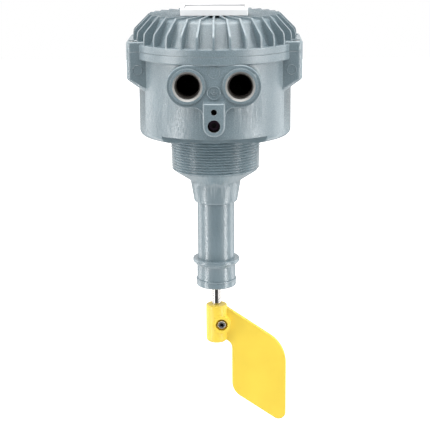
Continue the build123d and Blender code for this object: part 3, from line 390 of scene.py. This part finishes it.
def machined(name, colour, roughness, stretch=(0.03, 0.03, 1.0), scale=3000.0):
    """Bare metal with fine tool marks; the stretch says which way they run."""
    material, tree, shader = material_nodes(name)
    shader.inputs["Metallic"].default_value = 1.0
    marks = noise(tree, scale, 2.0, 0.6, stretch)
    darker = tuple(0.8 * part for part in colour)
    tree.links.new(between(tree, marks, 0.3, 0.7, darker, colour), shader.inputs["Base Color"])
    tree.links.new(between(tree, marks, 0.3, 0.7, roughness, roughness + 0.12), shader.inputs["Roughness"])
    tree.links.new(bump(tree, marks, 0.000008, soft_edges(tree, 0.0002)), shader.inputs["Normal"])
    return material


enamel_finish = enamel("grey_enamel", 1.0, 1.0, 0.0007, 0.92, 1.07)
# Painted light: the same enamel toned lighter on the neck, tube and its end pieces, and lighter still on
# the thread, for the light they catch
tube_enamel_lightened = enamel("grey_enamel_lightened_on_tube", 0.55, 0.7, 0.0004, 0.72, 1.14)
thread_enamel_lightened = enamel("grey_enamel_lightened_on_thread", 0.3, 0.6, 0.0001, 0.9, 1.3)
white_moulding = plastic("white_moulding", (0.86, 0.865, 0.87), 0.4)
blank_plate = plastic("blank_plate", (0.86, 0.865, 0.87), 0.45)
yellow_moulding = plastic("yellow_moulding", (0.85, 0.62, 0.06), 0.42, 0.00003, 0.0006, 0.2)
rubber = plastic("black_rubber", (0.025, 0.025, 0.025), 0.7)
dark_moulding = plastic("dark_moulding", (0.03, 0.03, 0.033), 0.5)
stainless = machined("turned_stainless", (0.66, 0.64, 0.62), 0.06)
stainless_face = machined("stainless_face", (0.62, 0.61, 0.6), 0.22, (1.0, 1.0, 1.0), 900.0)
# Painted shade: grey on the inner walls of the white tray's recess
painted_shade_white = plastic("painted_shade_white", (0.42, 0.42, 0.43), 0.5)
# Painted shade: near-black in the screws' key sockets, where only shade falls
painted_socket_shade = machined("painted_socket_shade", (0.06, 0.055, 0.06), 0.3, (1.0, 1.0, 1.0), 900.0)
bare_aluminium = machined("bare_aluminium", (0.34, 0.34, 0.33), 0.42, (1.0, 1.0, 1.0), 1500.0)
plated = machined("zinc_plated_steel", (0.6, 0.61, 0.6), 0.28, (1.0, 1.0, 1.0), 600.0)
spring_wire = machined("spring_wire", (0.34, 0.34, 0.33), 0.3, (1.0, 1.0, 1.0), 900.0)
brass = machined("brass", (0.66, 0.46, 0.17), 0.28, (1.0, 1.0, 1.0), 900.0)
motor_can = machined("motor_can", (0.52, 0.52, 0.51), 0.35)
blued_screw = machined("blued_screw", (0.10, 0.065, 0.10), 0.35, (1.0, 1.0, 1.0), 900.0)
# Painted shade: near-black in the entry bores, their threads and the lug's bores, where only shade falls
painted_bore_shade = plastic("painted_bore_shade", (0.02, 0.017, 0.014), 0.45)

slot_finishes = {
    "painted_casting": enamel_finish, "white_tray": white_moulding, "blank_label": blank_plate,
    "black_rubber": rubber, "stainless": stainless, "bearing_steel": stainless_face,
    "spring_steel": spring_wire, "plated_steel": plated, "yellow_plastic": yellow_moulding,
    "dark_screw": blued_screw, "brass": brass, "motor_shell": motor_can, "dark_plastic": dark_moulding,
}


def dress_solids():
    """Give each solid that stays the finish of its slot."""
    for entry in frame["record"]["subparts"]:
        mesh = frame["nodes"][entry["node"]].data
        mesh.materials.clear()
        finish = tube_enamel_lightened if entry["node"] == "tube_plug" else slot_finishes[entry["material_slot"]]
        mesh.materials.append(finish)


# Castings

def ease_seam(bm):
    """Break the outer edge at the joint of cover and housing, so that the seam shows as a groove."""
    for face in bm.faces:
        face.normal_update()
    seam = []
    for edge in bm.edges:
        if any(abs(vert.co.z - SEAM_HEIGHT * MM) > 0.00001 for vert in edge.verts):
            continue
        flat = [abs(face.normal.z) > 0.95 for face in edge.link_faces]
        if sorted(flat) == [False, True] and edge.verts[0].co.xy.length > SEAM_INNER * MM:
            seam.append(edge)
    bevelled(bm, seam, SEAM_EASE, 1)


def soften_roots(bm):
    """Fill the roots of the ears and of the rim's ends with a cast round."""
    for x, y, size in EAR_ROOTS:
        roots = []
        for edge in bm.edges:
            away = [abs(abs(vert.co.x) - x * MM) + abs(abs(vert.co.y) - y * MM) for vert in edge.verts]
            if max(away) < NEAR * MM and edge.calc_length() > 3 * MM:
                roots.append(edge)
        bevelled(bm, roots, size, 5)


def housing_casting():
    """Housing from its solid, with bare metal in the machined entry mouths and painted shade, near-black,
    deeper in the bores.
    """
    bm = merged_solid("housing")
    soften_roots(bm)
    ease_seam(bm)
    mouth = (0, (ENTRY_FRONT + ENTRY_MOUTH - ENTRY_SHADE_EDGE) * MM, 0)
    geom = list(bm.verts) + list(bm.edges) + list(bm.faces)
    bmesh.ops.bisect_plane(bm, geom=geom, plane_co=mouth, plane_no=(0, 1, 0))
    made = piece("housing_casting", bm, enamel_finish, CASTING_SMOOTH)
    made.data.materials.append(bare_aluminium)
    made.data.materials.append(painted_bore_shade)
    for face in made.data.polygons:
        centre = face.center / MM
        across = sqrt((abs(centre.x) - ENTRY_X) ** 2 + (centre.z - ENTRY_HEIGHT) ** 2)
        in_lug = abs(centre.x) < LUG_BORES_HALF and LUG_BORES_LOW < centre.z < LUG_BORES_TOP
        # Bare metal on the mouths' chamfers; painted shade, near-black, deeper in the entries and in the
        # lug's bores
        if across < ENTRY_MOUTH and abs(face.normal.y) < 0.9 and centre.y < ENTRY_BACK:
            face.material_index = 1 if across > ENTRY_SHADE_EDGE else 2
        elif in_lug and LUG_BORES_FRONT < centre.y < LUG_BORES_BACK:
            face.material_index = 2
    stands_for(made, "housing")


def cover_casting():
    """Cover from its solid, its seam eased."""
    bm = merged_solid("cover")
    ease_seam(bm)
    made = piece("cover_casting", bm, enamel_finish, CASTING_SMOOTH)
    stands_for(made, "cover")


def entry_threads():
    """Inner threads of the two cable entries, near-black as painted shade."""
    mouth_depth = ENTRY_MOUTH - ENTRY_BORE
    length = ENTRY_THREAD_BACK - ENTRY_FRONT - mouth_depth
    for side, x in (("left", -ENTRY_X), ("right", ENTRY_X)):
        bm = bmesh.new()
        helix(bm, ENTRY_BORE - ENTRY_THREAD_DEPTH, -ENTRY_THREAD_DEPTH, ENTRY_PITCH, 0.0, length)
        facing_front(bm, x, ENTRY_THREAD_BACK, ENTRY_HEIGHT)
        made = piece(side + "_entry_thread", bm, painted_bore_shade)
        made.data.flip_normals()
        trim_of(made)


def raised_ring(x, y, z, radius, width, rise):
    """Low cast ring on a face towards the front."""
    inner, outer = radius - width / 2, radius + width / 2
    corners = [(inner, -CAST_IN), (inner, rise), (outer, rise), (outer, -CAST_IN), (inner, -CAST_IN)]
    bm = bmesh.new()
    spin_profile(bm, rounded(corners, {1: rise / 3, 2: rise / 3}), 64)
    facing_front(bm, x, y, z)
    return bm


def earth_bar(bm, height, width, tall):
    """Low raised bar of the earth sign, on the pad's face."""
    box = bmesh.ops.create_cube(bm, size=1.0)["verts"]
    deep = EARTH_RISE + CAST_IN
    bmesh.ops.scale(bm, verts=box, vec=(width * MM, deep * MM, tall * MM))
    bmesh.ops.translate(bm, verts=box, vec=(0, (PAD_FACE + CAST_IN - deep / 2) * MM, height * MM))


def cast_marks():
    """Earth sign in its ring and the ejector rings, all cast in."""
    mark = raised_ring(0, PAD_FACE, EARTH_MARK_HEIGHT, *EARTH_RING)
    above, width, tall = EARTH_STEM
    earth_bar(mark, EARTH_MARK_HEIGHT + above, width, tall)
    for drop, width in EARTH_BARS:
        earth_bar(mark, EARTH_MARK_HEIGHT - drop, width, EARTH_BAR_HEIGHT)
    trim_of(piece("earth_mark", mark, enamel_finish))
    rings = raised_ring(0, PAD_FACE, PAD_MARK_HEIGHT, *PAD_MARK)
    x, y, z = EAR_MARK_PLACE
    for side in (-1, 1):
        join(rings, raised_ring(side * x, y, z, *EAR_MARK))
    trim_of(piece("ejector_rings", rings, enamel_finish))


def turns_out(edge, angle):
    """Whether two faces meet at an edge with an outer corner sharper than an angle in degrees."""
    return edge.is_manifold and edge.is_convex and edge.calc_face_angle(0) > radians(angle)


def smooth_solid(node, material, body="frame"):
    """Finished piece from a solid as it is."""
    made = piece(node + "_finished", merged_solid(node), material, TURNED_SMOOTH)
    stands_for(made, node, body)


def neck_casting():
    """Process connection, its thread band cut to the root, and the thread wound on it."""
    root = THREAD_START_RADIUS - THREAD_DEPTH
    bm = merged_solid("process_connection")
    for vert in bm.verts:
        reach, height = vert.co.xy.length / MM, vert.co.z / MM
        in_band = THREAD_BAND_INNER < reach < THREAD_START_RADIUS + NEAR
        if in_band and -THREAD_LENGTH - NEAR < height < NEAR:
            at_end = height < -THREAD_LENGTH + NEAR
            sunk = root + THREAD_TAPER * height - (0.0 if at_end else THREAD_SUNK)
            vert.co.xy *= sunk / reach
    neck = piece("neck_casting", bm, tube_enamel_lightened, TURNED_SMOOTH)
    stands_for(neck, "process_connection")
    thread = bmesh.new()
    helix(thread, THREAD_START_RADIUS, THREAD_DEPTH, THREAD_PITCH, -THREAD_LENGTH, THREAD_TOP, THREAD_TAPER)
    end_root = root - THREAD_LENGTH * THREAD_TAPER
    for vert in thread.verts:
        limit = (end_root + THREAD_END_STEP + (vert.co.z / MM + THREAD_LENGTH)) * MM
        reach = vert.co.xy.length
        if reach > limit:
            vert.co.xy *= limit / reach
    close_inside(thread, THREAD_BAND_INNER)
    trim_of(piece("process_thread", thread, thread_enamel_lightened, THREAD_SMOOTH))


def plug_bead():
    """Thin bead round the plug in the tube."""
    bead = bmesh.new()
    turns = [turn * pi / 4 for turn in range(9)]
    ring = [(PLUG_RADIUS + PLUG_BEAD * cos(turn), PLUG_BEAD * sin(turn)) for turn in turns]
    spin_profile(bead, ring, 48)
    facing_front(bead, 0, 0, PLUG_HEIGHT)
    for vert in bead.verts:
        vert.co.y -= sqrt((TUBE_RADIUS * MM) ** 2 - vert.co.x ** 2) - PLUG_SUNK * MM
    trim_of(piece("plug_bead", bead, tube_enamel_lightened))


def tube_and_end():
    """Extension tube with its plug, bearing carrier, end cap and shaft."""
    for node in ("extension_tube", "bearing_carrier", "end_cap"):
        smooth_solid(node, tube_enamel_lightened)
    plug_bead()
    smooth_solid("paddle_shaft", stainless, "rotor")


def moulded_paddle():
    """Paddle from its solid, with the hub's upper rim and the sharp edges rounded."""
    bm = merged_solid("paddle")
    top = max(vert.co.z for vert in bm.verts)
    rim = [
        edge for edge in bm.edges
        if all(top - vert.co.z < MM / 100 and vert.co.xy.length > HUB_RIM_INNER * MM for vert in edge.verts)
    ]
    bevelled(bm, rim, HUB_ROUND, 4)
    bevelled(bm, [edge for edge in bm.edges if turns_out(edge, 50)], PADDLE_EASE, 2)
    paddle = piece("paddle_finished", bm, yellow_moulding, TURNED_SMOOTH)
    stands_for(paddle, "paddle", "rotor")


def tension_spring():
    """Torque spring from its solid, with one eye on its post and the other on the post of the motor
    carrier; the piece is not attached to any body.
    """
    bm = merged_solid("torque_spring")
    made = piece("torque_spring_finished", bm, spring_wire, TURNED_SMOOTH)
    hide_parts("torque_spring")
    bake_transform(made)


def moulded_block(half_x, half_y, low, high):
    """Box centred on the axis, in mm."""
    bm = bmesh.new()
    box = bmesh.ops.create_cube(bm, size=2.0)["verts"]
    bmesh.ops.scale(bm, verts=box, vec=(half_x * MM, half_y * MM, (high - low) / 2 * MM))
    bmesh.ops.translate(bm, verts=box, vec=(0, 0, (low + high) / 2 * MM))
    bm.normal_update()
    return bm


def round_corners(bm, half_x, size):
    """Round the upright edges at a distance from the middle."""
    upright = [
        edge for edge in bm.edges
        if abs(edge.verts[0].co.z - edge.verts[1].co.z) > MM / 10
        and all(abs(abs(vert.co.x) - half_x * MM) < MM / 10 for vert in edge.verts)
    ]
    bevelled(bm, upright, size, 6, clamp=False)
    bm.normal_update()


def ease_top(bm, height, size):
    """Small round along the sharp edges at a height."""
    sharp = [
        edge for edge in bm.edges
        if edge.calc_face_angle(0) > radians(60)
        and all(abs(vert.co.z - height * MM) < MM / 100 for vert in edge.verts)
    ]
    bevelled(bm, sharp, size, 2)


def label_tray():
    """Tray with a drafted recess, and its blank plate."""
    bm = moulded_block(TRAY_HALF_X, TRAY_HALF_Y, TRAY_LOW, TRAY_TOP)
    top = [face for face in bm.faces if face.normal.z > 0.9]
    bmesh.ops.inset_region(bm, faces=top, thickness=TRAY_WALL * MM, use_even_offset=True)
    bmesh.ops.inset_region(bm, faces=top, thickness=TRAY_DRAFT * MM, depth=-TRAY_RECESS * MM,
                           use_even_offset=True)
    round_corners(bm, TRAY_HALF_X, TRAY_CORNER)
    ease_top(bm, TRAY_TOP, TRAY_ROUND)
    tray = piece("label_tray", bm, white_moulding)
    tray.data.materials.append(painted_shade_white)
    # The recess's inner walls take the grey as painted shade
    for face in tray.data.polygons:
        x, y, z = face.center / MM
        inside = abs(x) < TRAY_HALF_X - TRAY_WALL and abs(y) < TRAY_HALF_Y - TRAY_WALL
        if inside and TRAY_TOP - TRAY_RECESS < z < TRAY_TOP - 0.2:
            face.material_index = 1
    stands_for(tray, "label_holder")
    edge = TRAY_WALL + PLATE_GAP
    plate = moulded_block(TRAY_HALF_X - edge, TRAY_HALF_Y - edge, TRAY_TOP - TRAY_RECESS, PLATE_TOP)
    round_corners(plate, TRAY_HALF_X - edge, PLATE_CORNER)
    ease_top(plate, PLATE_TOP, PLATE_ROUND)
    stands_for(piece("plate", plate, blank_plate), "label_plate")


def socket_screws(node, material, axis, places, head, body="frame"):
    """Socket head screws from their solid, crowned, with painted shade in the sockets; places are across
    the axis.
    """
    front, depth, key, crown = head
    across = [index for index in range(3) if index != axis]

    def reach(point):
        """Distance in mm from a point in mm to the nearest screw's middle line."""
        return min(sqrt((point[across[0]] - a) ** 2 + (point[across[1]] - b) ** 2) for a, b in places)

    bm = merged_solid(node)
    rims = []
    for edge in bm.edges:
        start, end = (vert.co / MM for vert in edge.verts)
        on_face = abs(start[axis] - front) < 0.02 and abs(end[axis] - front) < 0.02
        if on_face and reach((start + end) / 2) > key and turns_out(edge, 25):
            rims.append(edge)
    bevelled(bm, rims, crown, 3)
    screws = piece(node + "_turned", bm, material, TURNED_SMOOTH)
    screws.data.materials.append(painted_socket_shade)
    # Faces inside each key socket take the painted shade
    for face in screws.data.polygons:
        centre = face.center / MM
        if reach(centre) < key and 0.02 < abs(centre[axis] - front) < depth + 0.05:
            face.material_index = 1
    stands_for(screws, node, body)


def all_screws():
    """Screws in the cover's ears, across the paddle's hub and in the ground lug."""
    corners = [(x, y) for x in (-COVER_SCREW_X, COVER_SCREW_X) for y in (-COVER_SCREW_Y, COVER_SCREW_Y)]
    socket_screws("cover_screws", stainless_face, 2, corners, COVER_SCREW_HEAD)
    socket_screws("paddle_screw", stainless_face, 1, [PADDLE_SCREW], PADDLE_SCREW_HEAD,
                  "rotor")
    socket_screws("outer_earth_screw", blued_screw, 1, [EARTH_SCREW], EARTH_SCREW_HEAD)


# Camera and studio

def camera():
    """Camera at the photograph's place, tilt and roll."""
    data = bpy.data.cameras.new("camera")
    data.sensor_width = SENSOR_MM
    data.sensor_height = SENSOR_MM
    data.lens = FOCAL_PIXELS * SENSOR_MM / PICTURE_SIDE
    eye = bpy.data.objects.new("camera", data)
    bpy.context.scene.collection.objects.link(eye)
    around = radians(CAMERA_AZIMUTH)
    place = Vector((CAMERA_DISTANCE * sin(around), -CAMERA_DISTANCE * cos(around), CAMERA_HEIGHT))
    yaw = around + atan(AXIS_PIXELS_RIGHT / FOCAL_PIXELS)
    turn = Matrix.Rotation(yaw, 4, "Z") @ Matrix.Rotation(radians(90 - CAMERA_TILT), 4, "X")
    eye.matrix_world = Matrix.Translation(place) @ turn @ Matrix.Rotation(radians(-CAMERA_ROLL), 4, "Z")
    bpy.context.scene.camera = eye


def lamp(name, place, size, power):
    """Soft lamp aimed at the object."""
    data = bpy.data.lights.new(name, "AREA")
    data.shape = "RECTANGLE"
    data.size, data.size_y = size
    data.energy = power
    light = bpy.data.objects.new(name, data)
    bpy.context.scene.collection.objects.link(light)
    light.location = place
    light.rotation_euler = (-Vector(place)).to_track_quat("-Z", "Y").to_euler()


def seen_directly(tree):
    """1 for what the camera sees straight or through glass, 0 for the light on the object."""
    path = tree.nodes.new("ShaderNodeLightPath")
    first = tree.nodes.new("ShaderNodeMath")
    first.operation = "MAXIMUM"
    tree.links.new(path.outputs["Is Camera Ray"], first.inputs[0])
    tree.links.new(path.outputs["Is Transmission Ray"], first.inputs[1])
    return first.outputs["Value"]


def dark_in_front(tree, place):
    """1 all round a place, falling to a dark patch where the camera stands."""
    unit = tree.nodes.new("ShaderNodeVectorMath")
    unit.operation = "NORMALIZE"
    tree.links.new(place, unit.inputs[0])
    split = tree.nodes.new("ShaderNodeSeparateXYZ")
    tree.links.new(unit.outputs["Vector"], split.inputs["Vector"])
    fade = tree.nodes.new("ShaderNodeMapRange")
    fade.interpolation_type = "SMOOTHSTEP"
    fade.inputs["From Min"].default_value = PATCH_FULL
    fade.inputs["From Max"].default_value = PATCH_END
    fade.inputs["To Min"].default_value = WORLD_FRONT
    fade.inputs["To Max"].default_value = 1.0
    tree.links.new(split.outputs["Y"], fade.inputs["Value"])
    return fade.outputs["Result"]


def white_world():
    """White behind the object, darker where the camera stands."""
    world = bpy.data.worlds.new("white_studio")
    bpy.context.scene.world = world
    world.use_nodes = True
    tree = world.node_tree
    place = tree.nodes.new("ShaderNodeTexCoord")
    fade = dark_in_front(tree, place.outputs["Generated"])
    path = tree.nodes.new("ShaderNodeLightPath")
    share = tree.nodes.new("ShaderNodeMath")
    share.operation = "MULTIPLY_ADD"
    tree.links.new(path.outputs["Is Glossy Ray"], share.inputs[0])
    share.inputs[1].default_value = 1.0 - WORLD_DIFFUSE
    share.inputs[2].default_value = WORLD_DIFFUSE
    level = tree.nodes.new("ShaderNodeMath")
    level.operation = "MULTIPLY"
    tree.links.new(fade, level.inputs[0])
    tree.links.new(share.outputs["Value"], level.inputs[1])
    pick = tree.nodes.new("ShaderNodeMix")
    tree.links.new(seen_directly(tree), pick.inputs["Factor"])
    tree.links.new(level.outputs["Value"], pick.inputs["A"])
    pick.inputs["B"].default_value = 1.0
    tree.links.new(pick.outputs["Result"], tree.nodes["Background"].inputs["Strength"])
    tree.nodes["Background"].inputs["Color"].default_value = (1, 1, 1, 1)


def white_floor():
    """Pale floor far below, white to the camera."""
    bm = bmesh.new()
    bmesh.ops.create_grid(bm, x_segments=1, y_segments=1, size=FLOOR_HALF)
    bmesh.ops.translate(bm, verts=bm.verts, vec=(0, 0, FLOOR_HEIGHT))
    mesh = bpy.data.meshes.new("floor")
    bm.to_mesh(mesh)
    bm.free()
    floor = bpy.data.objects.new("floor", mesh)
    bpy.context.scene.collection.objects.link(floor)
    material, tree, shader = material_nodes("white_floor")
    mesh.materials.append(material)
    place = tree.nodes.new("ShaderNodeTexCoord")
    path = tree.nodes.new("ShaderNodeLightPath")
    shade = tree.nodes.new("ShaderNodeMix")
    shade.inputs["A"].default_value = 1.0
    tree.links.new(path.outputs["Is Glossy Ray"], shade.inputs["Factor"])
    tree.links.new(dark_in_front(tree, place.outputs["Object"]), shade.inputs["B"])
    level = tree.nodes.new("ShaderNodeMath")
    level.operation = "MULTIPLY"
    level.inputs[1].default_value = FLOOR_WHITE
    tree.links.new(shade.outputs["Result"], level.inputs[0])
    tree.links.new(level.outputs["Value"], shader.inputs["Base Color"])
    shader.inputs["Roughness"].default_value = 0.9
    shader.inputs["Specular IOR Level"].default_value = 0.0
    shader.inputs["Emission Color"].default_value = (1, 1, 1, 1)
    tree.links.new(seen_directly(tree), shader.inputs["Emission Strength"])


def beside(azimuth):
    """Place of a strip lamp, its azimuth in degrees from the front."""
    around = radians(azimuth)
    return (STRIP_DISTANCE * sin(around), -STRIP_DISTANCE * cos(around), STRIP_HEIGHT)


def studio():
    """White room, a tall strip lamp and a wider one behind it on each side, and a softbox above."""
    bpy.context.scene.view_settings.view_transform = "Standard"
    white_world()
    white_floor()
    for side, name in ((-1, "left_strip"), (1, "right_strip")):
        lamp(name, beside(side * STRIP_AZIMUTH), STRIP_SIZE, STRIP_POWER)
        lamp(name + "_behind", beside(side * RIM_AZIMUTH), RIM_SIZE, RIM_POWER)
    lamp("overhead", OVERHEAD_PLACE, OVERHEAD_SIZE, OVERHEAD_POWER)


camera()
studio()
dress_solids()
housing_casting()
cover_casting()
entry_threads()
cast_marks()
neck_casting()
tube_and_end()
moulded_paddle()
tension_spring()
label_tray()
all_screws()
